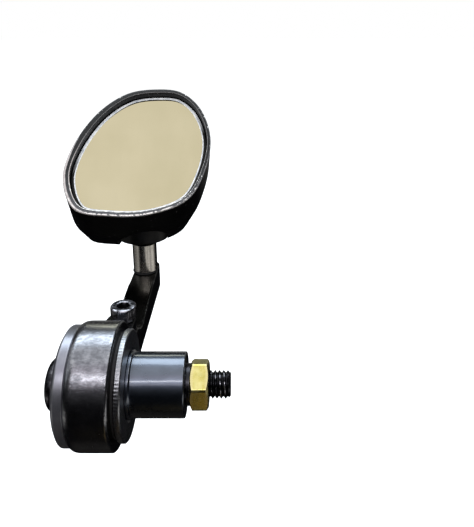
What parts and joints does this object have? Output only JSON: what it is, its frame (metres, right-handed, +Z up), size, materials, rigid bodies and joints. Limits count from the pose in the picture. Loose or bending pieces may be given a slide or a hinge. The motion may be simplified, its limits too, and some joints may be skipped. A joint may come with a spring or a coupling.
{
  "type": "bar-end mirror",
  "caption": "Oval convex mirror on a ball joint, carried by a clamped arm on an expander plug that grips inside a bicycle handlebar's end.",
  "frame": {"origin": "on the handlebar's axis, at the inboard face of the flange disc, where the handlebar's tube ends", "axes": "+X along the handlebar towards its middle, +Y away from the rider along the mirror's arm, +Z up"},
  "size_m": [0.0676, 0.1348, 0.0901],
  "materials": {
    "black_anodised": "satin, black anodised, worn along the edges",
    "grey_anodised": "satin grey",
    "grey_metal": "satin, bright worn rim",
    "black_paint": "gloss black over metal, chipped along the rim",
    "black_steel": "black oxide",
    "sleeve_rubber": "smooth",
    "yellow_zinc": "yellow zinc plate",
    "stainless": "turned and brushed",
    "nylon": "natural",
    "black_plastic": "matt",
    "mirror_glass": "silvered convex glass"
  },
  "bodies": {
    "hub": {"hub": "black_anodised", "flange_disc": "grey_metal", "inner_friction_washer": "black_plastic", "outer_friction_washer": "black_plastic", "end_cap": "grey_anodised", "bolt_spring_washer": "black_steel", "expander_sleeve": "sleeve_rubber"},
    "bolt": {"end_bolt": "black_steel"},
    "nut": {"hex_nut": "yellow_zinc", "thrust_washer": "black_steel"},
    "arm": {"mirror_arm": "black_anodised", "stem": "stainless", "stem_gasket": "black_plastic", "stem_screw": "black_steel", "stem_lock_washer": "stainless", "ball_stud": "stainless"},
    "pinch": {"pinch_screw": "black_steel"},
    "seat": {"ball_seat": "nylon"},
    "cup": {"pressure_cup": "nylon"},
    "head": {"mirror_housing": "black_paint", "mirror_glass": "mirror_glass", "glass_pad": "black_plastic", "socket_spring": "stainless", "socket_retainer": "yellow_zinc"}
  },
  "joints": [
    {"name": "arm_pivot", "type": "hinge", "parent": "hub", "child": "arm", "pos_m": [0, 0, 0], "axis": [1, 0, 0], "continuous": true},
    {"name": "bolt_turn", "type": "hinge", "parent": "hub", "child": "bolt", "pos_m": [0, 0, 0], "axis": [1, 0, 0], "range_deg": [0, 720]},
    {"name": "nut_draw", "type": "slide", "parent": "hub", "child": "nut", "axis": [-1, 0, 0], "range_m": [0, 0.00251], "deforming": ["expander_sleeve"]},
    {"name": "pinch_turn", "type": "hinge", "parent": "arm", "child": "pinch", "pos_m": [-0.0066, 0.025, 0.0066], "axis": [0, 0, 1], "range_deg": [0, 180]},
    {"name": "head_turn", "type": "hinge", "parent": "arm", "child": "seat", "pos_m": [-0.0078, 0.075, 0.0228], "axis": [0, 0, 1], "range_deg": [-180, 180]},
    {"name": "head_nod", "type": "hinge", "parent": "seat", "child": "cup", "pos_m": [-0.0078, 0.075, 0.0228], "axis": [1, 0, 0], "range_deg": [-15, 15]},
    {"name": "head_swing", "type": "hinge", "parent": "cup", "child": "head", "pos_m": [-0.0078, 0.075, 0.0228], "axis": [0, 1, 0], "range_deg": [-15, 15]}
  ],
  "couplings": [
    {"joint": "nut_draw", "follows": "bolt_turn", "m_per_rad": 0.00019894}
  ]
}
